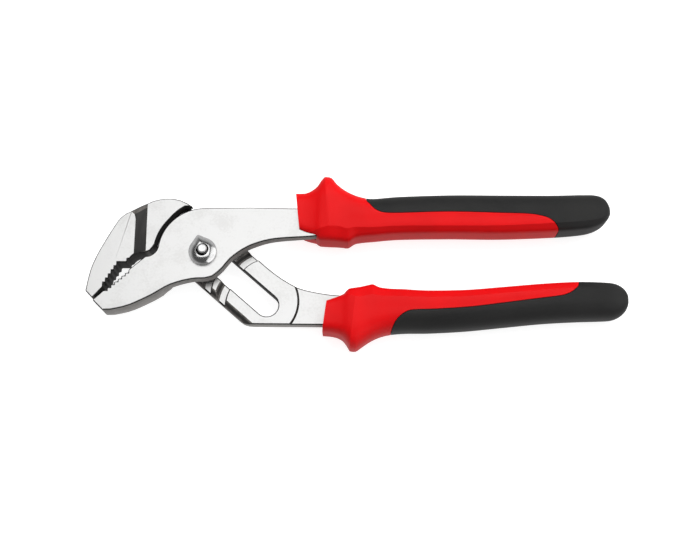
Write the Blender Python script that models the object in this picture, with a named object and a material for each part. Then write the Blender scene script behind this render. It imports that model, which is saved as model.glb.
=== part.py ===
"""Tongue and groove pliers, 250 mm long, lying flat with the pivot axis upright.

+Z is the pivot axis and points at the nut, +X runs along the handles, +Y is the
side of the upper handle. The origin is on the pivot axis, on the flat of the bolt's head.
Lengths in this file are millimetres and angles are degrees; MM turns them into metres.
"""
import math

import bmesh
import bpy
from mathutils import Vector

MM = 0.001

# ---- driving dimensions -------------------------------------------------------
PLATE = 6.2                # thickness of each lever where they cross
GAP = 0.3                  # clearance between pieces that touch
HALF_GAP = GAP / 2
MEET_Z = 11.0              # height of the plane where the two levers meet
FRONT_LOW = MEET_Z + HALF_GAP
FRONT_TOP = FRONT_LOW + PLATE
REAR_TOP = MEET_Z - HALF_GAP
REAR_LOW = REAR_TOP - PLATE
JAW_BACK = 6.7             # back of both jaws, which are flush with each other
NECK_TOP = 15.35           # the neck of the upper jaw is lower than its tip
SHANK_STEP = 0.5           # the lower shank is milled below the slotted bar
SHANK_TAPER = (24.0, 48.0) # the back of the upper shank rises between these places
SHANK_BACK = 12.4          # to this height

SLOT_ANGLE = -41.4         # direction in which the bolt travels along the slot
GROOVE_PITCH = 9.1
GROOVES = 5
GROOVE_DEPTH = 2.2
GROOVE_FLOOR = 3.7         # flat width of a groove
GROOVE_SLOPE = 1.55        # width of the sloped side of a groove
RADIUS_HIGH = 15.0         # groove radius on the upper side of the slot
CENTRE_HIGH = (-3.3, 7.0)  # its centre, along and beside the path, from the bolt's place
RADIUS_LOW = 17.2          # groove radius on the lower side, centred on the bolt's place
SLOT_HALF = 5.35
SLOT_OFFSET = 1.35         # the slot's middle line lies above the bolt's centre
SLOT_END = 38.0
SLOT_START = -3.5
BAR_LOW = -12.0            # edge of the slotted bar, measured from the bolt's path
CHAMFER = 2.2              # the bar's top starts this far inside that edge
LEDGE = 0.5                # width of the ledge at the foot of its chamfer

HUB_RADIUS = 21.35         # round of the front lever beside the upper jaw
NECK_RADIUS = 23.5         # hollow of the upper jaw round that hub
JAW_STEP_RADIUS = 20.2     # where the lower jaw starts to grow thicker than its joint plate
JAW_FULL_RADIUS = 26.9     # where it has its full thickness

BOLT_RADIUS = 3.5
BOLT_HOLE = BOLT_RADIUS + GAP
THREAD_RADIUS = 2.8
BOSS_RADIUS = 2.1
HEAD_FLATS = 11.0
HEAD_HEIGHT = 2.85
WASHER_RADIUS = 8.3
WASHER_THICK = 1.2
NUT_RADIUS = 6.45
NUT_HEIGHT = 3.9
NUT_BASE = FRONT_TOP + 0.2
NUT_CENTRE = (-0.25, -0.45)
NUT_PEG = (-2.3, 5.7)      # a peg under the nut's point keeps it from turning
PEG_DEPTH = 1.5
PEG_RADIUS = 0.9

GRIP_MIDDLE = 10.0         # height of the grips' middle plane
GRIP_HALF = 10.25          # half their thickness, before the flat on the back
SKIN = 2.4                 # depth of the black inlay
SIDE_FALL = 0.26           # drop of a grip's inner bevel, as a share of the height
SIDE_ROUND = 7             # how tightly that side turns down into its wall
GRIP_QUARTER = 6           # faces in a quarter of a grip's section
RIM = 8                    # the core under an inlay starts at this station

STEEL = (0.80, 0.80, 0.79)
CHROME = (0.72, 0.72, 0.73)
RED = (0.75, 0.012, 0.016)
BLACK = (0.03, 0.03, 0.03)


# ---- outlines -----------------------------------------------------------------
def arc(cx, cy, radius, start, end, step=5.0):
    """Points on an arc, from one angle to the other."""
    count = max(2, math.ceil(abs(end - start) / step))
    angles = [math.radians(start + (end - start) * i / count) for i in range(count + 1)]
    return [(cx + radius * math.cos(a), cy + radius * math.sin(a)) for a in angles]


def curve(points, step=2.5):
    """A smooth Catmull-Rom curve through a few points."""
    ends = [points[0]] + list(points) + [points[-1]]
    out = []
    for a, b, c, d in zip(ends, ends[1:], ends[2:], ends[3:]):
        count = max(1, round(math.dist(b, c) / step))
        for i in range(count):
            t = i / count
            out.append(tuple(
                0.5 * (2 * b[k] + (c[k] - a[k]) * t
                       + (2 * a[k] - 5 * b[k] + 4 * c[k] - d[k]) * t ** 2
                       + (3 * b[k] - a[k] - 3 * c[k] + d[k]) * t ** 3)
                for k in range(2)))
    return out + [points[-1]]


def stairs(start, end, teeth):
    """The right-angled teeth from one end of a row to the other."""
    points = [start]
    for i in range(teeth):
        nx = start[0] + (end[0] - start[0]) * (i + 1) / teeth
        ny = start[1] + (end[1] - start[1]) * (i + 1) / teeth
        points += [(points[-1][0], ny), (nx, ny)]
    return points


def offset(points, distance):
    """An open line moved to its right by a distance."""
    out = []
    for i, point in enumerate(points):
        before = Vector(points[max(i - 1, 0)])
        after = Vector(points[min(i + 1, len(points) - 1)])
        way = (after - before).normalized()
        out.append((point[0] + way.y * distance, point[1] - way.x * distance))
    return out


def along(travel, side):
    """A point at a distance along the bolt's path and beside it (+ is the upper side)."""
    angle = math.radians(SLOT_ANGLE)
    way = (math.cos(angle), math.sin(angle))
    return (travel * way[0] - side * way[1], travel * way[1] + side * way[0])


def obround(start, end, side, half):
    """A slot with round ends along the bolt's path."""
    first = along(start, side)
    last = along(end, side)
    return (arc(*last, half, SLOT_ANGLE - 90, SLOT_ANGLE + 90, 10)
            + arc(*first, half, SLOT_ANGLE + 90, SLOT_ANGLE + 270, 10))


def tidy(points):
    """Drop points that repeat their neighbour."""
    out = []
    for point in points:
        if not out or math.dist(out[-1], point) > 0.02:
            out.append(point)
    if math.dist(out[0], out[-1]) < 0.02:
        out.pop()
    return out


# ---- solids -------------------------------------------------------------------
def material(name, colour, roughness, metallic):
    mat = bpy.data.materials.new(name)
    mat.use_nodes = True
    shader = mat.node_tree.nodes["Principled BSDF"]
    shader.inputs["Base Color"].default_value = (*colour, 1)
    shader.inputs["Roughness"].default_value = roughness
    shader.inputs["Metallic"].default_value = metallic
    mat.diffuse_color = (*colour, 1)
    return mat


def solid(name, bm, mat=None):
    """Turn a mesh under construction into an object, in metres."""
    bmesh.ops.scale(bm, vec=(MM, MM, MM), verts=bm.verts)
    bmesh.ops.recalc_face_normals(bm, faces=bm.faces)
    mesh = bpy.data.meshes.new(name)
    bm.to_mesh(mesh)
    bm.free()
    obj = bpy.data.objects.new(name, mesh)
    bpy.context.scene.collection.objects.link(obj)
    if mat:
        mesh.materials.append(mat)
    return obj


def loft(name, rings, mat=None):
    """A closed solid through rings that have the same number of points."""
    bm = bmesh.new()
    loops = [[bm.verts.new(p) for p in ring] for ring in rings]
    for low, high in zip(loops, loops[1:]):
        for i in range(len(low)):
            j = (i + 1) % len(low)
            bm.faces.new((low[i], low[j], high[j], high[i]))
    bm.faces.new(list(reversed(loops[0])))
    bm.faces.new(loops[-1])
    return solid(name, bm, mat)


def prism(name, outline, low, high, mat=None):
    outline = tidy(outline)
    rings = [[(x, y, z) for x, y in outline] for z in (low, high)]
    return loft(name, rings, mat)


def across(name, section, start, end):
    """A bar along Y with a section of (x, z) points."""
    return loft(name, [[(x, y, z) for x, z in section] for y in (start, end)])


def turned(name, profile, mat=None, sides=32):
    """A round piece on the pivot axis from (radius, height) pairs, bottom to top."""
    angles = [math.tau * i / sides for i in range(sides)]
    rings = [[(r * math.cos(a), r * math.sin(a), z) for a in angles] for r, z in profile]
    return loft(name, rings, mat)


def cutter(obj):
    obj.hide_render = True
    obj.display_type = 'WIRE'
    return obj


def boolean(target, tool, operation='DIFFERENCE'):
    cutter(tool)
    mod = target.modifiers.new(tool.name, 'BOOLEAN')
    mod.operation = operation
    mod.solver = 'EXACT'
    mod.object = tool


def shade(obj, angle=35):
    obj.data.shade_smooth()
    obj.data.set_sharp_from_angle(angle=math.radians(angle))


# ---- front lever: lower jaw, joint plate and shank of the upper handle --------------
UPPER_TANG = [(49.3, 7.1), (58, 8.2), (70, 10.4), (84, 11.4), (145, 11.7), (149, 13.2),
              (149, 17.4), (145, 19.2), (84, 20.0), (66, 20.7), (49.3, 21.0)]
TANG_THIN_X = 58.0         # beyond this the upper tang is thinner
TANG_TOP = 15.35
POCKET_HIGH = (13.6, 20.5, 92, 133)    # radii and angles of the pocket on the upper side
POCKET_LOW = (10.6, 17.4, 144, 197)


def front_lever(steel):
    outline = [(-50.0, -23.25)]
    outline += curve([(-45.2, -28.0), (-41.5, -27.9), (-37.9, -27.2), (-32.5, -25.6),
                      (-23.6, -21.3), (-14.7, -16.1), (-5.3, -13.4), (1.2, -13.0),
                      (4.5, -12.1), (8.9, -8.2), (12.5, -3.6), (18.3, 0.9), (24.3, 3.8),
                      (33.1, 6.0), UPPER_TANG[0]])
    outline += UPPER_TANG
    outline += [(21.0, 21.6)]
    outline += arc(0, 0, HUB_RADIUS, 90, 171, 4.5)
    outline += curve([(-21.3, 2.0), (-21.9, 0.4), (-23.2, -1.1), (-24.8, -2.1),
                      (-26.9, -2.4)], 0.9)
    outline += stairs((-34.3, -8.9), (-45.2, -18.7), 7)
    lever = prism("front_lever", outline, JAW_BACK, FRONT_TOP, steel)

    # Behind the joint the lever is only one plate thick, and the shank grows thinner still.
    back = arc(0, 0, JAW_STEP_RADIUS, 225, 177, 4)
    back += [(-30, 1.6), (-34, 30), (160, 30), (160, -40), (-21, -40)]
    boolean(lever, prism("cut_joint_back", back, 0, FRONT_LOW))
    boolean(lever, turned("cut_jaw_back", [(JAW_FULL_RADIUS, 0), (JAW_FULL_RADIUS, JAW_BACK),
                                           (JAW_STEP_RADIUS, FRONT_LOW)], None, 64))
    start, end = SHANK_TAPER
    section = [(start, FRONT_LOW), (end, SHANK_BACK), (170, SHANK_BACK), (170, 0), (start, 0)]
    boolean(lever, across("cut_shank_back", section, -5, 30))
    boolean(lever, turned("cut_bolt_hole", [(BOLT_HOLE, 5), (BOLT_HOLE, 25)]))
    thin = [(TANG_THIN_X, 0), (170, 0), (170, 30), (TANG_THIN_X, 30)]
    boolean(lever, prism("cut_tang_top", thin, TANG_TOP, 25))

    # A pocket beside each tongue takes the ridge that the tongue hooks over.
    for name, (low, high, start, end) in (("cut_tongue_high", POCKET_HIGH),
                                          ("cut_tongue_low", POCKET_LOW)):
        ring = arc(0, 0, low, start, end) + arc(0, 0, high, end, start)
        boolean(lever, prism(name, ring, FRONT_LOW - 1, FRONT_LOW + GROOVE_DEPTH + 0.1))
    hole = arc(*NUT_PEG, PEG_RADIUS + GAP, 0, 345, 15)
    boolean(lever, prism("cut_nut_peg", hole, NUT_BASE - PEG_DEPTH - GAP, FRONT_TOP + 2))
    return lever


# ---- rear lever: upper jaw, slotted bar and shank of the lower handle -----------------
LOWER_TANG = [(55.0, -33.4), (62, -32.8), (72, -30.6), (86, -28.6), (104, -28.0),
              (137, -26.0), (149, -24.6), (152.5, -23.0), (152.5, -20.4), (149, -19.0),
              (137, -19.6), (104, -21.2), (86, -20.6), (74, -19.7), (63.8, -19.3)]


def groove_cutter(name, number, centre, radius, start, end):
    """One groove: an upright wall on the side of the handle and a slope towards the jaw."""
    cx, cy = along(number * GROOVE_PITCH + centre[0], centre[1])
    floor = REAR_TOP - GROOVE_DEPTH
    slope = GROOVE_SLOPE if number else 0
    over = 0.5
    section = [(radius, floor), (radius + GROOVE_FLOOR, floor),
               (radius + GROOVE_FLOOR + slope * (1 + over / GROOVE_DEPTH), REAR_TOP + over),
               (radius, REAR_TOP + over)]
    count = 12
    rings = []
    for i in range(count + 1):
        angle = math.radians(start + (end - start) * i / count)
        rings.append([(cx + r * math.cos(angle), cy + r * math.sin(angle), z)
                      for r, z in section])
    return loft("cut_groove_%d_%s" % (number + 1, name), rings)


def rear_lever(steel):
    outline = [(-50.15, -22.45)]
    outline += stairs((-45.5, -17.1), (-38.4, -5.3), 6)
    outline += [(-35.1, -5.3), (-35.0, -3.7), (-33.9, -3.5)]
    outline += curve([(-33.4, -2.6), (-31.6, -1.1), (-29.0, -0.2), (-26.8, 0.4),
                      (-25.3, 1.0), (-24.2, 2.4), (-23.1, 4.2)], 1.5)
    outline += [along(33.3, BAR_LOW)]
    outline += curve([(18.9, -32.3), (21.2, -33.0), (24.5, -33.2)], 1.5)
    outline += LOWER_TANG
    outline += curve([(58.7, -18.9), (53.5, -18.1), (47.0, -16.7), (42.3, -15.0),
                      (37.6, -12.3), (32.9, -9.0), (28.6, -5.5)])
    outline += [(-1.0, 20.9), (-6.0, 22.6)]
    outline += curve([(-8.5, 24.2), (-12.3, 26.0), (-16.8, 26.8), (-20.9, 26.6),
                      (-25.5, 25.4), (-30.4, 22.7), (-34.9, 19.7), (-37.3, 18.5),
                      (-39.6, 16.4), (-41.8, 13.0), (-45.9, 5.4), (-49.6, -2.4),
                      (-51.9, -9.1), (-53.55, -18.9)])
    lever = prism("rear_lever", outline, REAR_LOW, FRONT_TOP, steel)

    # The bar and the shank lie under the front lever; only the jaw rises beside it.
    over = arc(0, 0, NECK_RADIUS, 172, 138, 4.5)
    over += curve([(-15.3, 18.4), (-13.0, 20.6), (-11.4, 21.8), (-9.8, 22.8), (-6.0, 22.7)])
    over += [(-5.5, 32), (170, 32), (170, -60), (-12, -60)]
    boolean(lever, prism("cut_over_bar", over, REAR_TOP, 25))
    slot = obround(SLOT_START, SLOT_END, SLOT_OFFSET, SLOT_HALF)
    boolean(lever, prism("cut_slot", slot, 0, 25))
    middle = SLOT_ANGLE + 180
    for number in range(GROOVES):
        boolean(lever, groove_cutter("high", number, CENTRE_HIGH, RADIUS_HIGH,
                                     middle + 12, middle - 50))
        boolean(lever, groove_cutter("low", number, (0, 0), RADIUS_LOW,
                                     middle - 3, middle + 58))

    # The lower edge of the bar is chamfered down to a ledge level with the groove floors.
    ledge = REAR_TOP - GROOVE_DEPTH
    section = [(BAR_LOW + LEDGE, ledge), (BAR_LOW - 3, ledge), (BAR_LOW - 3, 13),
               (BAR_LOW + CHAMFER, 13), (BAR_LOW + CHAMFER, REAR_TOP)]
    rings = [[(*along(t, side), z) for side, z in section] for t in (-19, 46)]
    boolean(lever, loft("cut_bar_chamfer", rings))
    step = arc(26.0, -22.3, 18.0, -60, 60, 4) + [(170, 0), (170, -60)]
    boolean(lever, prism("cut_shank_step", step, REAR_TOP - SHANK_STEP, 13))

    # The tip of the jaw stands above the neck, with a slope between them, front and back.
    high_edge = curve([(-32.2, -12), (-32.4, 4), (-32.4, 15.8), (-33.0, 18.0), (-34.6, 19.5),
                       (-37.5, 21.5)])
    low_edge = [(-27.0 - 0.5 * i / 8, -12 + 5 * i) for i in range(9)]
    rings = []
    for i, (x, y) in enumerate(high_edge):
        j = i / (len(high_edge) - 1) * (len(low_edge) - 1)
        k = min(int(j), len(low_edge) - 2)
        lx = low_edge[k][0] + (low_edge[k + 1][0] - low_edge[k][0]) * (j - k)
        ly = low_edge[k][1] + (low_edge[k + 1][1] - low_edge[k][1]) * (j - k)
        rings.append([(x, y, FRONT_TOP + 0.02), (lx, ly, NECK_TOP), (10, ly + 5, NECK_TOP),
                      (10, ly + 5, 22), (x, y, 22)])
    boolean(lever, loft("cut_neck_front", rings))
    back = [(-60, 0), (-20, 0), (-20, REAR_LOW - 1), (-27.0, REAR_LOW), (-32.4, JAW_BACK),
            (-60, JAW_BACK)]
    boolean(lever, across("cut_tip_back", back, -40, 40))
    return lever


# ---- bolt, washer and nut ---------------------------------------------------------
def pivot_bolt(chrome):
    reach = HEAD_FLATS / math.sqrt(3)
    corners = [(reach * math.cos(math.tau * i / 6), reach * math.sin(math.tau * i / 6))
               for i in range(6)]
    inner = [(x * 0.9, y * 0.9) for x, y in corners]
    head = loft("pivot_bolt", [[(x, y, 0) for x, y in inner],
                               [(x, y, 0.5) for x, y in corners],
                               [(x, y, HEAD_HEIGHT) for x, y in corners]], chrome)
    shank = turned("bolt_shank", [(BOLT_RADIUS, 1.0), (BOLT_RADIUS, FRONT_TOP - 0.4),
                                  (THREAD_RADIUS, FRONT_TOP + 0.1),
                                  (THREAD_RADIUS, NUT_BASE + NUT_HEIGHT - 1.1),
                                  (BOSS_RADIUS, NUT_BASE + NUT_HEIGHT - 0.9),
                                  (BOSS_RADIUS, NUT_BASE + NUT_HEIGHT + 0.5),
                                  (BOSS_RADIUS - 0.3, NUT_BASE + NUT_HEIGHT + 0.8)])
    boolean(head, shank, 'UNION')
    return head


def slot_washer(steel):
    low = HEAD_HEIGHT + GAP
    high = low + WASHER_THICK
    washer = turned("slot_washer", [(WASHER_RADIUS - 0.3, low), (WASHER_RADIUS, low + 0.3),
                                    (WASHER_RADIUS, high - 0.3), (WASHER_RADIUS - 0.3, high)],
                    steel, 40)
    edge = SLOT_OFFSET + SLOT_HALF - GAP
    key = [along(t, side) for t, side in ((-4.6, edge - 1.8), (3.2, edge - 1.8), (3.2, edge),
                                          (-4.6, edge))]
    boolean(washer, prism("washer_key", key, low + 0.5, high + 2.0), 'UNION')
    boolean(washer, turned("cut_washer_hole", [(BOLT_HOLE, 0), (BOLT_HOLE, 12)]))
    return washer


def pear_nut(chrome):
    plan = arc(0, 0, NUT_RADIUS, 168, 420, 8)
    plan += [(-1.0, 7.9), (-1.6, 8.1), (-2.3, 7.9), (-2.8, 7.3)]
    cx, cy = NUT_CENTRE
    rings = []
    for shrink, height in ((0, 0), (0, 2.0), (0.4, 2.8), (1.3, 3.5), (2.6, NUT_HEIGHT)):
        ring = []
        for x, y in plan:
            keep = 1 - shrink / math.hypot(x, y)
            ring.append((cx + x * keep, cy + y * keep, NUT_BASE + height))
        rings.append(ring)
    nut = loft("pear_nut", rings, chrome)
    peg = arc(*NUT_PEG, PEG_RADIUS, 0, 330, 30)
    boolean(nut, prism("nut_peg", peg, NUT_BASE - PEG_DEPTH, NUT_BASE + 1), 'UNION')
    bore = [(THREAD_RADIUS + GAP, 15), (THREAD_RADIUS + GAP, 25)]
    boolean(nut, turned("cut_nut_bore", bore, None, 28))
    return nut


# ---- grips ----------------------------------------------------------------------
# Each station gives a grip's lower and upper edge, its half thickness as a share of the
# full one, how square its section is (2 is an ellipse), and where the bevel of the inner
# side begins, as a share of the half width.
UPPER_GRIP = [
    ((44.4, 10.0), (42.4, 29.3), 0.90, 4.2, 0.93), ((47.6, 8.5), (47.2, 29.5), 0.90, 4.2, 0.92),
    ((50.2, 7.7), (50.3, 31.1), 0.93, 4.0, 0.87), ((52.0, 7.2), (52.6, 33.2), 0.97, 3.8, 0.80),
    ((53.7, 5.9), (54.3, 36.0), 1.02, 3.6, 0.70), ((58.6, 5.5), (55.9, 38.0), 1.07, 3.5, 0.64),
    ((61.8, 5.3), (59.1, 37.6), 1.04, 3.4, 0.62), ((64.6, 5.0), (61.6, 34.6), 1.01, 3.3, 0.60),
    ((67.2, 4.8), (65.1, 31.6), 1.0, 3.2, 0.60), ((70.2, 6.7), (69.5, 29.2), 1.0, 3.0, 0.63),
    ((73.4, 7.4), (74.0, 27.7), 1.0, 2.9, 0.66), ((79.0, 7.9), (79.0, 27.1), 1.0, 2.8, 0.69),
    ((91.6, 8.9), (91.8, 28.2), 1.0, 2.7, 0.72), ((115.2, 9.2), (115.8, 29.0), 1.0, 2.7, 0.75),
    ((138.8, 9.0), (139.7, 28.9), 1.0, 2.7, 0.72), ((163.0, 9.9), (163.6, 28.8), 1.0, 2.7, 0.68),
    ((176.7, 11.0), (177.0, 29.1), 0.98, 2.7, 0.67),
    ((182.6, 12.2), (184.0, 29.0), 0.95, 2.6, 0.67),
    ((186.8, 14.2), (187.8, 27.5), 0.88, 2.5, 0.67),
    ((189.2, 16.4), (189.7, 25.0), 0.72, 2.4, 0.67),
    ((190.5, 18.4), (190.7, 22.8), 0.48, 2.3, 0.67),
    ((190.95, 20.0), (191.0, 21.3), 0.20, 2.2, 0.67)]
UPPER_SPLIT = [(75.6, 34.0), (75.8, 25.2), (77.3, 22.8), (79.3, 20.4), (81.7, 18.9),
               (84.7, 18.2), (91.3, 18.1), (114.7, 18.7), (138.3, 18.1), (150.5, 17.7),
               (156.7, 16.8), (160.9, 15.3), (163.7, 12.9), (165.7, 9.8), (166.8, 3.0)]
LOWER_GRIP = [
    ((55.3, -37.7), (57.3, -23.2), 0.90, 4.2, 0.93),
    ((58.8, -38.0), (60.3, -22.1), 0.90, 4.2, 0.92),
    ((62.1, -38.8), (63.4, -20.9), 0.93, 4.0, 0.87),
    ((64.6, -40.3), (65.4, -19.8), 0.97, 3.8, 0.80),
    ((66.2, -42.4), (67.3, -17.7), 1.02, 3.6, 0.70),
    ((67.7, -45.1), (71.0, -17.0), 1.07, 3.3, 0.62),
    ((70.4, -45.5), (73.5, -16.5), 1.04, 3.1, 0.58),
    ((73.6, -43.4), (76.2, -15.8), 1.01, 3.0, 0.56),
    ((77.0, -41.1), (78.6, -15.4), 1.0, 2.9, 0.54), ((81.3, -39.0), (81.5, -16.8), 1.0, 2.8, 0.54),
    ((86.4, -37.7), (86.0, -17.5), 1.0, 2.7, 0.54), ((93.3, -37.1), (93.0, -17.8), 1.0, 2.6, 0.54),
    ((104.8, -37.0), (104.0, -18.4), 1.0, 2.5, 0.54),
    ((121.0, -36.1), (121.5, -18.1), 1.0, 2.5, 0.54),
    ((138.0, -34.4), (137.8, -16.8), 1.0, 2.5, 0.54),
    ((156.0, -32.6), (156.6, -15.2), 1.0, 2.5, 0.54),
    ((171.0, -31.7), (172.0, -14.4), 1.0, 2.5, 0.55),
    ((184.0, -31.3), (184.6, -14.6), 0.97, 2.5, 0.58),
    ((189.4, -30.9), (190.2, -15.3), 0.92, 2.4, 0.60),
    ((193.0, -29.4), (193.7, -17.2), 0.82, 2.4, 0.62),
    ((195.1, -27.4), (195.5, -19.4), 0.66, 2.3, 0.64),
    ((196.1, -25.2), (196.2, -21.4), 0.42, 2.2, 0.66),
    ((196.35, -23.9), (196.4, -22.6), 0.18, 2.2, 0.66)]
LOWER_SPLIT = [(85.6, -46.0), (86.4, -39.6), (87.2, -36.8), (88.8, -33.7), (90.8, -31.5),
               (93.3, -29.8), (96.6, -28.8), (107.7, -28.4), (122.6, -27.4), (136.6, -25.7),
               (151.0, -23.8), (163.4, -22.2), (167.8, -21.0), (170.8, -19.0), (173.0, -16.2),
               (175.0, -8.0)]


def section(square, fold, inner):
    """Points round one section, over the top and back below, in half widths.

    The outer half is a superellipse. The inner half is flatter and folds down at `fold`.
    """
    angles = [math.pi / 2 * i / GRIP_QUARTER for i in range(GRIP_QUARTER)]
    points = [(-math.cos(a) ** (2 / square), math.sin(a) ** (2 / square)) for a in angles]
    points.append((0, 1))
    edge = (1 - fold ** 6) ** (1 / 6)
    for angle in angles + [math.pi / 2]:
        t = math.sin(angle)
        points.append((fold + (1 - fold) * t, edge * (1 - SIDE_FALL * t)
                       * (1 - t ** SIDE_ROUND) ** (1 / SIDE_ROUND)))
    for i in range(2 * GRIP_QUARTER):
        angle = math.pi / 2 * (i + 0.5) / GRIP_QUARTER
        c = math.cos(angle)
        points.append((math.copysign(abs(c) ** (2 / square), c),
                       -math.sin(angle) ** (2 / square)))
    return [(u * inner, w) for u, w in points]


def grip_ring(station, inner, shrink):
    """One section of a grip, flattened on the back where it would rest."""
    (bx, by), (tx, ty), share, square, fold = station
    middle = ((bx + tx) / 2, (by + ty) / 2)
    reach = math.dist((bx, by), (tx, ty)) / 2
    keep = (reach - shrink) / reach
    half = GRIP_HALF * share - shrink
    return [(middle[0] + (tx - bx) / 2 * u * keep, middle[1] + (ty - by) / 2 * u * keep,
             max(GRIP_MIDDLE + half * w, shrink)) for u, w in section(square, fold, inner)]


def grip_body(name, stations, inner, shrink=0.0, mat=None):
    """The whole grip, or with a shrink the core that the black inlay lies on."""
    if shrink:
        stations = stations[RIM:-3]
    return loft(name, [grip_ring(s, inner, shrink) for s in stations], mat)


def grip(side, stations, split, tang, low, high, red, black):
    """A red sleeve over the tang and a black inlay on the side away from the other handle."""
    outward = 1 if side == "upper" else -1
    inner = -outward
    outer = 60 * outward
    region = split + [(210, split[-1][1]), (210, outer), (split[0][0], outer)]
    inlay = grip_body(side + "_grip_inlay", stations, inner, 0, black)
    boolean(inlay, prism("keep_%s_inlay" % side, region, -5, 30), 'INTERSECT')
    boolean(inlay, grip_body("cut_%s_inlay" % side, stations, inner, SKIN))

    sleeve = grip_body(side + "_grip_sleeve", stations, inner, 0, red)
    moved = offset(split, GAP * outward)
    region = moved + [(210, moved[-1][1]), (210, outer), (moved[0][0], outer)]
    pocket = prism("cut_%s_sleeve" % side, region, -5, 30)
    boolean(pocket, grip_body("core_%s_sleeve" % side, stations, inner, SKIN + GAP))
    boolean(sleeve, pocket)
    room = offset(tang, GAP)
    room = [(30, room[0][1])] + room + [(30, room[-1][1])]
    boolean(sleeve, prism("cut_%s_mouth" % side, room, low - GAP, high + GAP))
    return sleeve, inlay


# ---- the tool ---------------------------------------------------------------------
for old in list(bpy.data.objects):
    bpy.data.objects.remove(old, do_unlink=True)

satin_steel = material("satin_steel", STEEL, 0.35, 1.0)
polished_steel = material("polished_steel", CHROME, 0.15, 1.0)
zinc_steel = material("zinc_steel", STEEL, 0.4, 1.0)
red_plastic = material("red_plastic", RED, 0.4, 0.0)
black_rubber = material("black_rubber", BLACK, 0.7, 0.0)

for piece in (front_lever(satin_steel), rear_lever(satin_steel), pivot_bolt(polished_steel),
              slot_washer(zinc_steel), pear_nut(polished_steel)):
    shade(piece)

for piece in (*grip("upper", UPPER_GRIP, UPPER_SPLIT, UPPER_TANG, SHANK_BACK, FRONT_TOP,
                    red_plastic, black_rubber),
              *grip("lower", LOWER_GRIP, LOWER_SPLIT, LOWER_TANG, REAR_LOW,
                    REAR_TOP - SHANK_STEP, red_plastic, black_rubber)):
    shade(piece)
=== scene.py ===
"""Looks of the tongue and groove pliers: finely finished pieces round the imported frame.

Metres, +Z up. The tool lies flat on the floor, its pivot on the Z axis, its handles along +X.
"""
import math
import statistics

import bmesh
import bpy
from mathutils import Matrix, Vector


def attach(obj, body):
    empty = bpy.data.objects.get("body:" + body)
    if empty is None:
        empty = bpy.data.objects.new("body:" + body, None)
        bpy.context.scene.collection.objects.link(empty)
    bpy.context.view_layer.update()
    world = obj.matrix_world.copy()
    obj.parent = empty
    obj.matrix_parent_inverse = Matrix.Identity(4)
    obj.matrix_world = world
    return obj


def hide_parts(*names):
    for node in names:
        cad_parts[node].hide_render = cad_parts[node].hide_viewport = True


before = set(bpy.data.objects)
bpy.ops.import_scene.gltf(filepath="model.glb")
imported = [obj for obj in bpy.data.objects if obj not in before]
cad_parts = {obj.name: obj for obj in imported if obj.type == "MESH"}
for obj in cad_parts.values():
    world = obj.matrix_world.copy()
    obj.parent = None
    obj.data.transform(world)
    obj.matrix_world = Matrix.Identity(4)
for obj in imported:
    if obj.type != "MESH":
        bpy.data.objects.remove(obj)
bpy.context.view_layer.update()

MM = 0.001

# ---- camera -----------------------------------------------------------------------
# Half a metre above the tool and tilted 16 degrees, so that it sees the tops of the pieces
# and a little of the walls that face its own side.
camera = bpy.data.objects.new("camera", bpy.data.cameras.new("camera"))
bpy.context.scene.collection.objects.link(camera)
camera.location = (0.06795, -0.1443, 0.47203)
camera.rotation_euler = (math.radians(16), 0, 0)
camera.data.lens = 52.9
camera.data.sensor_width = 36
bpy.context.scene.camera = camera
bpy.context.scene.view_settings.view_transform = 'Standard'


# ---- front and rear levers -----------------------------------------------------------
# Two drop forgings of tool steel. Their flat faces are ground bright, their walls, slopes
# and chamfers keep the dark skin of the forge, and every edge is broken by tumbling.
# The slopes, broken edges and hollows are painted near black as painted shade, and the
# walls are painted lighter towards the foot as painted floor bounce.
class Socket:
    """A shader socket that works in sums: an expression on it adds its Math nodes."""

    def __init__(self, finish, socket):
        self.finish = finish
        self.socket = socket

    def math(self, operation, *others):
        return self.finish.node("ShaderNodeMath", {"operation": operation},
                                dict(enumerate((self, *others))))

    def __add__(self, other):
        return self.math('ADD', other)

    def __sub__(self, other):
        return self.math('SUBTRACT', other)

    def __rsub__(self, other):
        return (self * -1) + other

    def __mul__(self, other):
        return self.math('MULTIPLY', other)

    __radd__ = __add__
    __rmul__ = __mul__


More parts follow.
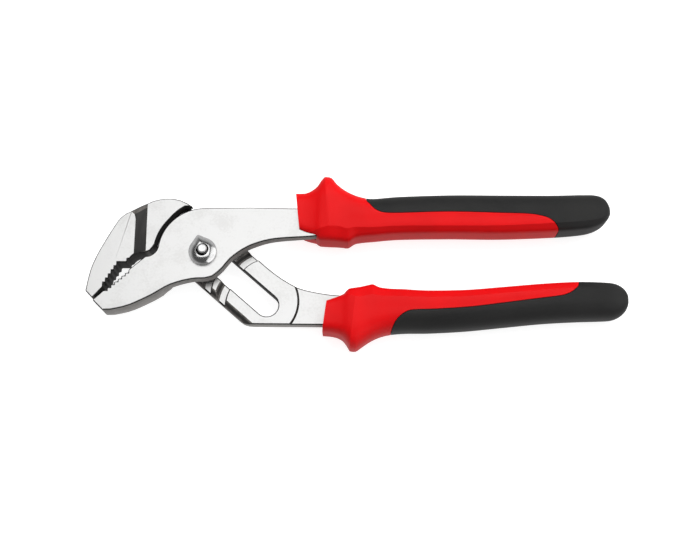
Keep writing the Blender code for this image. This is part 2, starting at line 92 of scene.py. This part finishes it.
class Finish:
    """A material with one Principled shader, whose sockets take numbers, colours or sums."""

    def __init__(self, name):
        self.material = bpy.data.materials.new(name)
        self.material.use_nodes = True
        self.tree = self.material.node_tree
        self.shader = self.tree.nodes["Principled BSDF"]
        self.place = self.node("ShaderNodeTexCoord", {}, {}, "Object")

    def feed(self, socket, value):
        if isinstance(value, Socket):
            self.tree.links.new(value.socket, socket)
        else:
            socket.default_value = value

    def node(self, kind, settings, inputs, output=0):
        made = self.tree.nodes.new(kind)
        for key, value in settings.items():
            setattr(made, key, value)
        for key, value in inputs.items():
            self.feed(made.inputs[key], value)
        return Socket(self, made.outputs[output])

    def noise(self, size, detail=3.0, stretch=(1, 1, 1), rough=0.5):
        """Noise whose blotches are about `size` metres wide, longer where stretch is above 1."""
        scale = [1 / (size * s) for s in stretch]
        moved = self.node("ShaderNodeMapping", {}, {"Vector": self.place, "Scale": scale})
        return self.node("ShaderNodeTexNoise", {}, {"Vector": moved, "Scale": 1.0,
                                                    "Detail": detail, "Roughness": rough})

    def ramp(self, value, low, high):
        """0 below low, 1 above high, smooth between them."""
        return self.node("ShaderNodeMapRange", {"interpolation_type": 'SMOOTHSTEP'},
                         {"Value": value, "From Min": low, "From Max": high})

    def window(self, value, start, full, fading, end):
        """1 between full and fading, 0 before start and after end."""
        return self.ramp(value, start, full) * (1 - self.ramp(value, fading, end))

    def axis(self, vector, letter):
        """One coordinate of a vector."""
        return self.node("ShaderNodeSeparateXYZ", {}, {"Vector": vector}, letter)

    def mix(self, factor, first, second):
        return self.node("ShaderNodeMix", {"data_type": 'RGBA'},
                         {0: factor, 6: first, 7: second}, 2)

    def bump(self, height, depth):
        """A bump of `depth` metres for a height that runs from 0 to 1."""
        return self.node("ShaderNodeBump", {}, {"Height": height, "Distance": depth,
                                                "Strength": 1.0})

    def paint(self, **values):
        for key, value in values.items():
            self.feed(self.shader.inputs[key.replace("_", " ")], value)
        return self.material


GROUND_STEEL = (0.80, 0.80, 0.795, 1)
STAINED_STEEL = (0.62, 0.612, 0.60, 1)
FORGE_SKIN = (0.050, 0.046, 0.043, 1)
FORGE_SKIN_LIGHT = (0.095, 0.088, 0.082, 1)
WALL_SKIN_PAINTED_LIGHT = (0.27, 0.26, 0.25, 1)
PAINTED_SHADE = (0.008, 0.008, 0.008, 1)

GROOVE_TILT = math.radians(41.4)    # slope of the slotted bar, down from the X axis
SLOT_OFFSET = 1.35 * MM             # from the bolt's path to the middle of the slot
SLOT_HALF = 5.4 * MM
SLOT_FAR = 43.6 * MM                # from the bolt to the slot's far end, along the bar
# Where the teeth's painted shade begins, is full, fades and ends, along X and along Y.
TEETH_X = (-50 * MM, -49 * MM, -28 * MM, -26 * MM)
TEETH_Y = (-22.5 * MM, -21.5 * MM, 0, 1.5 * MM)
LEVEL = 0.9999                      # steepness of a normal that stands for a level face


def lever_steel(name, grain, joint_gap, slotted):
    """Ground faces with a fine grain along `grain` (a stretch), and forge skin on the rest.

    Painted shade blackens the walls of the gap round the hub, between two radii, the teeth,
    and (where slotted is 1) the walls of the slot.
    """
    steel = Finish(name)
    facing = steel.axis(steel.node("ShaderNodeNewGeometry", {}, {}, "True Normal"), "Z")
    tilt = facing.math('ABSOLUTE')
    x, y, height = (steel.axis(steel.place, letter) for letter in "XYZ")
    ground = steel.ramp(tilt, 0.965, 0.99)
    fine = steel.noise(0.0011, 3, rough=0.65)
    lines = steel.noise(0.00022, 2, grain)
    stain = steel.ramp(steel.noise(0.012, 4) * 0.6 + fine * 0.4, 0.45, 0.62) * 0.35
    bright = steel.mix(stain, GROUND_STEEL, STAINED_STEEL)

    streaks = steel.noise(0.0016, 4, (1, 5, 1))
    skin = steel.mix(steel.ramp(streaks, 0.38, 0.66), FORGE_SKIN, FORGE_SKIN_LIGHT)
    # Painted light: upright walls are mixed towards a lighter skin, more so towards the foot, like
    # floor bounce; the streaks add random real tone.
    upright = 1 - steel.ramp(tilt, 0.1, 0.4)
    foot = 1 - steel.ramp(height, 5 * MM, 17 * MM)
    skin = steel.mix(upright * (0.25 + foot * 0.5 + streaks * 0.4), skin, WALL_SKIN_PAINTED_LIGHT)
    # Painted shade: bevels and shallow slopes, the tilts between walls and flats, are mixed most
    # of the way to black.
    arris = steel.window(tilt, 0.12, 0.22, 0.58, 0.80)
    arris += steel.window(tilt, 0.84, 0.88, 0.945, 0.965)
    skin = steel.mix(arris * 0.85, skin, PAINTED_SHADE)

    near, far = joint_gap
    hollow = (steel.window((x * x + y * y).math('SQRT'), near - 0.2 * MM, near, far, far + MM)
              * steel.ramp(y, -6 * MM, -4 * MM) * (1 - steel.ramp(x, -6 * MM, -4 * MM)))
    teeth = steel.window(x, *TEETH_X) * steel.window(y, *TEETH_Y)
    beside = x * math.sin(GROOVE_TILT) + y * math.cos(GROOVE_TILT) - SLOT_OFFSET
    travel = x * math.cos(GROOVE_TILT) - y * math.sin(GROOVE_TILT)
    soft = 0.2 * MM
    slot = (steel.window(beside, -SLOT_HALF - soft, -SLOT_HALF, SLOT_HALF, SLOT_HALF + soft)
            * steel.window(travel, -11 * MM, -10 * MM, SLOT_FAR, SLOT_FAR + 0.4 * MM) * slotted)
    # Painted shade: the walls of the gap round the hub, of the teeth and of the slot are
    # blackened.
    painted_shade_zones = hollow.math('MAXIMUM', teeth).math('MAXIMUM', slot)
    skin = steel.mix(painted_shade_zones * (1 - ground) * 0.9, skin, PAINTED_SHADE)

    pits = steel.bump(steel.noise(0.0006, 3), 0.00006)
    brushed = steel.bump(lines * 0.75 + fine * 0.25, 0.0000035)
    normal = steel.node("ShaderNodeMix", {"data_type": 'VECTOR'},
                        {0: ground, 4: pits, 5: brushed}, 1)
    return steel.paint(Base_Color=steel.mix(ground, skin, bright), Metallic=ground,
                       Roughness=0.55 - ground * 0.23 + lines * 0.06, Normal=normal,
                       Specular_IOR_Level=0.3)


def only(piece):
    """Select one object alone and make it the active one."""
    bpy.ops.object.select_all(action='DESELECT')
    piece.select_set(True)
    bpy.context.view_layer.objects.active = piece


def apply_all(piece):
    only(piece)
    for modifier in list(piece.modifiers):
        bpy.ops.object.modifier_apply(modifier=modifier.name)


def finished_copy(node, name, edge, segments=2, least=28):
    """A CAD node's copy with whole faces, broken edges of width `edge` and level flats.

    Only edges that turn by more than `least` degrees are broken.
    """
    piece = bpy.data.objects.new(name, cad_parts[node].data.copy())
    bpy.context.scene.collection.objects.link(piece)
    piece.data.materials.clear()
    only(piece)
    bpy.ops.object.mode_set(mode='EDIT')
    bpy.ops.mesh.select_all(action='SELECT')
    bpy.ops.mesh.remove_doubles(threshold=0.05 * MM)
    bpy.ops.mesh.dissolve_limited(angle_limit=math.radians(0.6))
    bpy.ops.object.mode_set(mode='OBJECT')
    bevel = piece.modifiers.new("broken_edges", 'BEVEL')
    bevel.width = edge
    bevel.segments = segments
    bevel.limit_method = 'ANGLE'
    bevel.angle_limit = math.radians(least)
    bevel.use_clamp_overlap = False
    apply_all(piece)
    bpy.ops.object.shade_smooth_by_angle(angle=math.radians(24))
    for polygon in piece.data.polygons:
        if abs(polygon.normal.z) > LEVEL:
            polygon.use_smooth = False
            corners = [piece.data.vertices[i] for i in polygon.vertices]
            level = statistics.median(corner.co.z for corner in corners)
            for corner in corners:
                corner.co.z = level
    return piece


def install(piece, node, body, material):
    """Put a finished piece in its CAD node's stead, on its body."""
    if not piece.data.materials:
        piece.data.materials.append(material)
    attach(piece, body)
    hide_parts(node)


lever_edge = 0.5 * MM
front_lever = finished_copy("front_lever", "ground_front_lever", lever_edge)
install(front_lever, "front_lever", "front_arm",
        lever_steel("front_lever_steel", (40, 1, 1), (20.5 * MM, 22.4 * MM), 0))
rear_lever = finished_copy("rear_lever", "ground_rear_lever", lever_edge)
install(rear_lever, "rear_lever", "rear_arm",
        lever_steel("rear_lever_steel", (1, 40, 1), (22.4 * MM, 25.2 * MM), 1))


# ---- bolt, washer and nut ---------------------------------------------------------------
# The bolt is turned from hexagon bar and plated, the washer is stamped and zinc plated, and
# the pear-shaped nut is cast, polished and plated; its point is pegged into the lever.
def plated(name, colour, roughness, scratch, bore):
    """Bright plating with fine scratches, cloudy polish, and painted shade in the ring of `bore`.
    """
    metal = Finish(name)
    cloud = metal.noise(0.0024, 4)
    scratches = metal.noise(0.00025, 3, (6, 1, 3))
    dull = metal.mix(metal.ramp(cloud, 0.35, 0.75), (*colour, 1),
                     (*[c * 0.8 for c in colour], 1))
    flat = metal.node("ShaderNodeVectorMath", {"operation": 'MULTIPLY'},
                      {0: metal.place, 1: (1, 1, 0)})
    radius = metal.node("ShaderNodeVectorMath", {"operation": 'LENGTH'}, {0: flat}, "Value")
    inner, outer = bore
    # Painted shade: the ring round the bore, above the lever, is mixed to black.
    ring = (metal.window(radius, inner, inner + 0.1 * MM, outer - 0.1 * MM, outer)
            * metal.ramp(metal.axis(metal.place, "Z"), 17 * MM, 18 * MM))
    return metal.paint(Base_Color=metal.mix(ring, dull, PAINTED_SHADE), Metallic=1.0,
                       Roughness=roughness + cloud * 0.1 + ring * 0.4,
                       Normal=metal.bump(scratches, scratch))


pivot_bolt = finished_copy("pivot_bolt", "plated_pivot_bolt", 0.15 * MM)
install(pivot_bolt, "pivot_bolt", "front_arm",
        plated("bolt_plating", (0.78, 0.78, 0.78), 0.14, 0.000002, (2.12 * MM, 4.0 * MM)))
slot_washer = finished_copy("slot_washer", "zinc_slot_washer", 0.12 * MM)
install(slot_washer, "slot_washer", "slot_follower",
        plated("washer_zinc", (0.62, 0.62, 0.60), 0.34, 0.000004, (2.0 * MM, 3.9 * MM)))

NUT_ROUND = 6.45 * MM
NUT_TIP = 0.95 * MM           # radius of the rounded point
NUT_REACH = 7.2 * MM          # from the middle of the round to the middle of the point
NUT_WAY = math.radians(107.5)
NUT_BORE = 2.8 * MM
BORE_SHARE = -0.03            # the chamfered bore, as a share of the way to the outline
NUT_WALL = 1.5 * MM
NUT_CENTRE = Vector((-0.25, -0.45, 0)) * MM
NUT_BASE = 17.55 * MM
FOOT_RISE = 0.12 * MM         # height of the broken edge at the foot
EDGE_RISE = 0.15 * MM         # height of the broken edge between wall and crown
EDGE_SHARE = 0.985            # what a broken edge leaves of the outline
CROWN_RADIUS = 8.0 * MM       # of the crown in section
CROWN_STEEP = math.radians(37)
CROWN_GENTLE = math.radians(7)
CROWN_STEPS = 14


def pear(angle):
    """Radius of the pear: a large round, a small one, and the tangents that join them."""
    turn = abs((angle - NUT_WAY + math.pi) % math.tau - math.pi)
    lean = math.acos((NUT_ROUND - NUT_TIP) / NUT_REACH)
    start = math.atan2(NUT_TIP * math.sin(lean), NUT_REACH + NUT_TIP * math.cos(lean))
    if turn < start:
        return (NUT_REACH * math.cos(turn)
                + math.sqrt(NUT_TIP ** 2 - (NUT_REACH * math.sin(turn)) ** 2))
    return NUT_ROUND / math.cos(lean - turn) if turn < lean else NUT_ROUND


def shape_ring(height, share):
    """Put the selected ring at a height, a share of the way from the bore to the outline."""
    shape = bmesh.from_edit_mesh(pear_nut.data)
    for vertex in [v for v in shape.verts if v.select]:
        angle = math.atan2(vertex.co.y, vertex.co.x)
        radius = NUT_BORE + (pear(angle) - NUT_BORE) * share
        vertex.co = (radius * math.cos(angle), radius * math.sin(angle), NUT_BASE + height)
    bmesh.update_edit_mesh(pear_nut.data)


bpy.ops.object.select_all(action='DESELECT')
bpy.ops.mesh.primitive_circle_add(vertices=144, radius=NUT_ROUND, fill_type='NOTHING')
pear_nut = bpy.context.object
pear_nut.name = "polished_pear_nut"
bpy.ops.object.mode_set(mode='EDIT')
bpy.ops.mesh.select_all(action='SELECT')
run = math.sin(CROWN_STEEP) - math.sin(CROWN_GENTLE)
profile = [(0, EDGE_SHARE), (FOOT_RISE, 1.0), (NUT_WALL, 1.0)]
for step in range(CROWN_STEPS + 1):
    slope = CROWN_STEEP + (CROWN_GENTLE - CROWN_STEEP) * step / CROWN_STEPS
    rise = CROWN_RADIUS * (math.cos(slope) - math.cos(CROWN_STEEP))
    profile.append((NUT_WALL + EDGE_RISE + rise,
                    EDGE_SHARE * (1 - (math.sin(CROWN_STEEP) - math.sin(slope)) / run)))
profile += [(profile[-1][0] - EDGE_RISE, BORE_SHARE), (0, BORE_SHARE)]
shape_ring(*profile[0])
for height, share in profile[1:]:
    bpy.ops.mesh.extrude_edges_move()
    shape_ring(height, share)
bpy.ops.mesh.select_all(action='DESELECT')
bpy.ops.mesh.select_non_manifold()
bpy.ops.mesh.bridge_edge_loops()
bpy.ops.mesh.select_all(action='SELECT')
bpy.ops.mesh.normals_make_consistent(inside=False)
bpy.ops.transform.translate(value=NUT_CENTRE)
bpy.ops.object.mode_set(mode='OBJECT')
bpy.ops.object.shade_smooth_by_angle(angle=math.radians(32))
install(pear_nut, "pear_nut", "front_arm",
        plated("nut_plating", (0.80, 0.80, 0.80), 0.12, 0.0000015, (0, 2.85 * MM)))


# ---- grips --------------------------------------------------------------------------------
# Each shank wears a hard red sleeve with a guard, moulded over its tang, and a soft black
# inlay is moulded onto the sleeve's outer side and round its end.
GRIP_MIDDLE = 10.0         # height of the grips' middle plane, in millimetres
GRIP_HALF = 10.25          # half their thickness
SKIN = 2.4                 # depth of the inlay
GAP = 0.3                  # parting line between inlay and sleeve
RIDGE = 5                  # the station at the crest of the guard
SIDE_FALL = 0.26           # drop of the inner side's bevel, as a share of the height
SIDE_ROUND = 7             # how tightly that side turns down into its wall
FINE = 22                  # points in a quarter of a section

# Each station gives the grip's edges on the two sides, its half thickness as a share of the
# full one, how square its section is (2 is an ellipse), and where the bevel of the inner
# side begins, as a share of the half width.
UPPER_GRIP = [
    ((44.4, 10.0), (42.4, 29.3), 0.90, 4.2, 0.93), ((47.6, 8.5), (47.2, 29.5), 0.90, 4.2, 0.92),
    ((50.2, 7.7), (50.3, 31.1), 0.93, 4.0, 0.87), ((52.0, 7.2), (52.6, 33.2), 0.97, 3.8, 0.80),
    ((53.7, 5.9), (54.3, 36.0), 1.02, 3.6, 0.70), ((58.6, 5.5), (55.9, 38.0), 1.07, 3.5, 0.64),
    ((61.8, 5.3), (59.1, 37.6), 1.04, 3.4, 0.62), ((64.6, 5.0), (61.6, 34.6), 1.01, 3.3, 0.60),
    ((67.2, 4.8), (65.1, 31.6), 1.0, 3.2, 0.60), ((70.2, 6.7), (69.5, 29.2), 1.0, 3.0, 0.63),
    ((73.4, 7.4), (74.0, 27.7), 1.0, 2.9, 0.66), ((79.0, 7.9), (79.0, 27.1), 1.0, 2.8, 0.69),
    ((91.6, 8.9), (91.8, 28.2), 1.0, 2.7, 0.72), ((115.2, 9.2), (115.8, 29.0), 1.0, 2.7, 0.75),
    ((138.8, 9.0), (139.7, 28.9), 1.0, 2.7, 0.72), ((163.0, 9.9), (163.6, 28.8), 1.0, 2.7, 0.68),
    ((176.7, 11.0), (177.0, 29.1), 0.98, 2.7, 0.67),
    ((182.6, 12.2), (184.0, 29.0), 0.95, 2.6, 0.67),
    ((186.8, 14.2), (187.8, 27.5), 0.88, 2.5, 0.67),
    ((189.2, 16.4), (189.7, 25.0), 0.72, 2.4, 0.67),
    ((190.5, 18.4), (190.7, 22.8), 0.48, 2.3, 0.67),
    ((190.95, 20.0), (191.0, 21.3), 0.20, 2.2, 0.67)]
UPPER_SPLIT = [(75.6, 34.0), (75.8, 25.2), (77.3, 22.8), (79.3, 20.4), (81.7, 18.9),
               (84.7, 18.2), (91.3, 18.1), (114.7, 18.7), (138.3, 18.1), (150.5, 17.7),
               (156.7, 16.8), (160.9, 15.3), (163.7, 12.9), (165.7, 9.8), (166.8, 3.0)]
LOWER_GRIP = [
    ((55.3, -37.7), (57.3, -23.2), 0.90, 4.2, 0.93),
    ((58.8, -38.0), (60.3, -22.1), 0.90, 4.2, 0.92),
    ((62.1, -38.8), (63.4, -20.9), 0.93, 4.0, 0.87),
    ((64.6, -40.3), (65.4, -19.8), 0.97, 3.8, 0.80),
    ((66.2, -42.4), (67.3, -17.7), 1.02, 3.6, 0.70),
    ((67.7, -45.1), (71.0, -17.0), 1.07, 3.3, 0.62),
    ((70.4, -45.5), (73.5, -16.5), 1.04, 3.1, 0.58),
    ((73.6, -43.4), (76.2, -15.8), 1.01, 3.0, 0.56),
    ((77.0, -41.1), (78.6, -15.4), 1.0, 2.9, 0.54), ((81.3, -39.0), (81.5, -16.8), 1.0, 2.8, 0.54),
    ((86.4, -37.7), (86.0, -17.5), 1.0, 2.7, 0.54), ((93.3, -37.1), (93.0, -17.8), 1.0, 2.6, 0.54),
    ((104.8, -37.0), (104.0, -18.4), 1.0, 2.5, 0.54),
    ((121.0, -36.1), (121.5, -18.1), 1.0, 2.5, 0.54),
    ((138.0, -34.4), (137.8, -16.8), 1.0, 2.5, 0.54),
    ((156.0, -32.6), (156.6, -15.2), 1.0, 2.5, 0.54),
    ((171.0, -31.7), (172.0, -14.4), 1.0, 2.5, 0.55),
    ((184.0, -31.3), (184.6, -14.6), 0.97, 2.5, 0.58),
    ((189.4, -30.9), (190.2, -15.3), 0.92, 2.4, 0.60),
    ((193.0, -29.4), (193.7, -17.2), 0.82, 2.4, 0.62),
    ((195.1, -27.4), (195.5, -19.4), 0.66, 2.3, 0.64),
    ((196.1, -25.2), (196.2, -21.4), 0.42, 2.2, 0.66),
    ((196.35, -23.9), (196.4, -22.6), 0.18, 2.2, 0.66)]
LOWER_SPLIT = [(85.6, -46.0), (86.4, -39.6), (87.2, -36.8), (88.8, -33.7), (90.8, -31.5),
               (93.3, -29.8), (96.6, -28.8), (107.7, -28.4), (122.6, -27.4), (136.6, -25.7),
               (151.0, -23.8), (163.4, -22.2), (167.8, -21.0), (170.8, -19.0), (173.0, -16.2),
               (175.0, -8.0)]


def smooth(rows, step):
    """Rows of numbers joined by Catmull-Rom curves, with a row about every `step`."""
    ends = [rows[0]] + list(rows) + [rows[-1]]
    out = []
    for a, b, c, d in zip(ends, ends[1:], ends[2:], ends[3:]):
        count = max(1, round(math.dist(b[:2], c[:2]) / step))
        for i in range(count):
            t = i / count
            out.append([0.5 * (2 * q + (r - p) * t + (2 * p - 5 * q + 4 * r - s) * t ** 2
                               + (3 * q - p - 3 * r + s) * t ** 3)
                        for p, q, r, s in zip(a, b, c, d)])
    return out + [list(rows[-1])]


def as_piece(shape, name):
    """An object made of a finished bmesh, which is used up."""
    bmesh.ops.recalc_face_normals(shape, faces=shape.faces)
    mesh = bpy.data.meshes.new(name)
    shape.to_mesh(mesh)
    shape.free()
    piece = bpy.data.objects.new(name, mesh)
    bpy.context.scene.collection.objects.link(piece)
    return piece


def section(square, fold, inner):
    """Points round one section, over the top and back below, in half widths.

    The outer half is a superellipse. The inner half is flatter and folds down at `fold`.
    """
    quarter = [math.pi / 2 * i / FINE for i in range(FINE + 1)]
    outer = [(math.cos(a) ** (2 / square), math.sin(a) ** (2 / square)) for a in quarter[:-1]]
    outer.append((0.0, 1.0))
    flat = [fold * i / (FINE // 2) for i in range(FINE // 2)]
    edge = (1 - fold ** 6) ** (1 / 6)
    side = [math.sin(math.pi / 2 * i / FINE) for i in range(FINE + 1)]
    top = [(-u, w) for u, w in outer] + [(u, (1 - u ** 6) ** (1 / 6)) for u in flat[1:]]
    top += [(fold + (1 - fold) * t,
             edge * (1 - SIDE_FALL * t) * (1 - t ** SIDE_ROUND) ** (1 / SIDE_ROUND))
            for t in side]
    low = []
    for i in range(1, 2 * FINE):
        c, s = math.cos(math.pi * i / (2 * FINE)), math.sin(math.pi * i / (2 * FINE))
        low.append((math.copysign(abs(c) ** (2 / square), c), -abs(s) ** (2 / square)))
    return [(u * inner, w) for u, w in top + low]


def lofted(name, stations, inner, spacing, shrink=0.0, first=0, last=None):
    """A closed skin through a grip's sections, drawn out ring by ring from one end."""
    flat = [(*low, *high, *rest) for low, high, *rest in stations]
    rows = smooth(flat[:RIDGE + 1], spacing)[:-1] + smooth(flat[RIDGE:], spacing)
    if last is not None:
        rows = [r for r in rows if flat[first][0] - 0.01 < r[0] < flat[last][0] + 0.01]
    skin = bmesh.new()
    rings = []
    for bx, by, tx, ty, share, square, fold in rows:
        reach = math.dist((bx, by), (tx, ty)) / 2
        half = GRIP_HALF * share - shrink
        ring = []
        for u, w in section(square, fold, inner):
            u *= (reach - shrink) / reach
            ring.append(skin.verts.new(Vector((
                (bx + tx) / 2 + (tx - bx) / 2 * u, (by + ty) / 2 + (ty - by) / 2 * u,
                max(GRIP_MIDDLE + half * w, shrink))) * MM))
        rings.append(ring)
    for low, high in zip(rings, rings[1:]):
        for i in range(len(low)):
            j = (i + 1) % len(low)
            skin.faces.new((low[i], low[j], high[j], high[i]))
    skin.faces.new(rings[0])
    skin.faces.new(list(reversed(rings[-1])))
    bmesh.ops.remove_doubles(skin, verts=skin.verts, dist=0.01 * MM)
    return as_piece(skin, name)


def slab(name, outline, low, high):
    """An upright slab with a given outline, in millimetres."""
    block = bmesh.new()
    face = block.faces.new([block.verts.new((x * MM, y * MM, low * MM)) for x, y in outline])
    top = bmesh.ops.extrude_face_region(block, geom=[face])
    moved = [v for v in top["geom"] if isinstance(v, bmesh.types.BMVert)]
    bmesh.ops.translate(block, verts=moved, vec=(0, 0, (high - low) * MM))
    return as_piece(block, name)


def combine(piece, tool, operation):
    """Cut a piece with a tool, keep what they share, or join them; the tool is used up."""
    change = piece.modifiers.new("cut", 'BOOLEAN')
    change.operation = operation
    change.object = tool
    apply_all(piece)
    bpy.data.objects.remove(tool)


def shifted(points, distance):
    """An open line moved to its right by a distance."""
    out = []
    for i, point in enumerate(points):
        way = Vector(points[min(i + 1, len(points) - 1)]) - Vector(points[max(i - 1, 0)])
        way.normalize()
        out.append((point[0] + way.y * distance, point[1] - way.x * distance))
    return out


def outer_region(line, outward):
    """The outline of everything on a grip's outer side of its parting line."""
    edge = 60 * outward
    return line + [(210, line[-1][1]), (210, edge), (line[0][0], edge)]


def moulded_red():
    plastic = Finish("moulded_red")
    grain = plastic.noise(0.0007, 3)
    cloud = plastic.noise(0.02, 2)
    colour = plastic.mix(plastic.ramp(cloud, 0.3, 0.7), (0.50, 0.0014, 0.0026, 1),
                         (0.455, 0.0012, 0.0022, 1))
    return plastic.paint(Base_Color=colour, Roughness=0.34 + grain * 0.10,
                         Specular_IOR_Level=0.13, Normal=plastic.bump(grain, 0.000012))


def moulded_black():
    rubber = Finish("moulded_black")
    grain = rubber.noise(0.00045, 3, rough=0.7)
    cloud = rubber.noise(0.015, 3)
    colour = rubber.mix(rubber.ramp(cloud, 0.3, 0.7), (0.0072, 0.0072, 0.0072, 1),
                        (0.0095, 0.0095, 0.0092, 1))
    return rubber.paint(Base_Color=colour, Roughness=0.40 + grain * 0.14,
                        Specular_IOR_Level=0.30, Normal=rubber.bump(grain, 0.00003))


red = moulded_red()
black = moulded_black()


def grip(side, stations, split, room, heights, body):
    """The sleeve and the inlay of one handle, parted along the split line."""
    outward = 1 if side == "upper" else -1
    line = [tuple(p) for p in smooth(split, 1.0)]
    inlay = lofted("soft_%s_grip_inlay" % side, stations, -outward, 1.1)
    combine(inlay, slab("region", outer_region(line, outward), -5, 30), 'INTERSECT')
    combine(inlay, lofted("core", stations, -outward, 3.0, SKIN, 8, -4), 'DIFFERENCE')

    sleeve = lofted("hard_%s_grip_sleeve" % side, stations, -outward, 1.1)
    pocket = slab("region", outer_region(shifted(line, GAP * outward), outward), -5, 30)
    combine(pocket, lofted("core", stations, -outward, 3.0, SKIN + GAP, 8, -4), 'DIFFERENCE')
    combine(sleeve, pocket, 'DIFFERENCE')
    combine(sleeve, slab("mouth", room, *heights), 'DIFFERENCE')
    for piece, node, slot, material in ((sleeve, side + "_grip_sleeve", "red_grip", red),
                                        (inlay, side + "_grip_inlay", "black_grip", black)):
        only(piece)
        bpy.ops.object.shade_smooth_by_angle(angle=math.radians(15))
        install(piece, node, body, material)


upper_room = [(30, 6.8), (49.3, 6.8), (58, 7.9), (70, 10.1), (84, 11.1), (145, 11.4),
              (149.3, 13.0), (149.3, 17.5), (145, 19.5), (84, 20.3), (66, 21.0), (30, 21.3)]
lower_room = [(30, -33.7), (55.0, -33.7), (62, -33.1), (72, -30.9), (86, -28.9), (104, -28.3),
              (137, -26.3), (149, -24.9), (152.8, -23.0), (152.8, -20.4), (149, -18.7),
              (137, -19.3), (104, -20.9), (86, -20.3), (74, -19.4), (63.8, -19.0), (30, -18.2)]
grip("upper", UPPER_GRIP, UPPER_SPLIT, upper_room, (12.1, 17.65), "front_arm")
grip("lower", LOWER_GRIP, LOWER_SPLIT, lower_room, (4.35, 10.65), "rear_arm")


# ---- floor and light -----------------------------------------------------------------------
# A plain white studio floor, a soft box above the far side that the flats and the polished
# nut reflect, a second one to the right for the nut's crown, and a key and a wide fill that
# only light what is matt. The studio's walls are pale and its ceiling is dark.
def plain_floor():
    paper = Finish("studio_paper")
    tone = paper.ramp(paper.noise(0.4, 2), 0.3, 0.7)
    colour = paper.mix(tone, (0.90, 0.90, 0.90, 1), (0.92, 0.92, 0.92, 1))
    matt = paper.mix(tone, (0.40, 0.40, 0.40, 1), (0.42, 0.42, 0.42, 1))
    return paper.paint(Base_Color=matt, Roughness=0.9, Emission_Color=colour,
                       Emission_Strength=0.90)


bpy.ops.object.select_all(action='DESELECT')
bpy.ops.mesh.primitive_plane_add(size=12, location=(0, 0, -0.2 * MM))
floor = bpy.context.object
floor.name = "floor"
floor.data.materials.append(plain_floor())
floor.visible_glossy = False


def area_light(name, location, target, size, power, glossy=True):
    light = bpy.data.lights.new(name, 'AREA')
    light.shape = 'RECTANGLE'
    light.size, light.size_y = size
    light.energy = power
    lamp = bpy.data.objects.new(name, light)
    bpy.context.scene.collection.objects.link(lamp)
    lamp.location = location
    lamp.rotation_euler = (Vector(target) - Vector(location)).to_track_quat('-Z', 'Y').to_euler()
    lamp.visible_glossy = glossy
    return lamp


area_light("soft_box", (-0.05, 0.33, 1.0), (-0.05, 0.33, 0), (0.80, 0.90), 3.0)
area_light("key", (0.60, 0.85, 1.25), (0.07, 0, 0), (1.2, 1.2), 34.0, glossy=False)
area_light("fill", (0, -0.1, 1.6), (0, 0, 0), (3, 3), 10.0, glossy=False)
area_light("kicker", (0.85, -0.15, 0.85), (0, 0, 0), (2.0, 0.8), 5.6)
world = bpy.data.worlds.new("studio")
world.use_nodes = True
sky = world.node_tree.nodes
way = sky.new("ShaderNodeTexCoord")
height = sky.new("ShaderNodeSeparateXYZ")
shade = sky.new("ShaderNodeMapRange")
for key, value in {"From Min": 0.40, "From Max": 0.65, "To Min": 0.55, "To Max": 0.08}.items():
    shade.inputs[key].default_value = value
for start, end in ((way.outputs["Generated"], height.inputs[0]),
                   (height.outputs["Z"], shade.inputs["Value"]),
                   (shade.outputs[0], sky["Background"].inputs["Color"])):
    world.node_tree.links.new(start, end)
bpy.context.scene.world = world
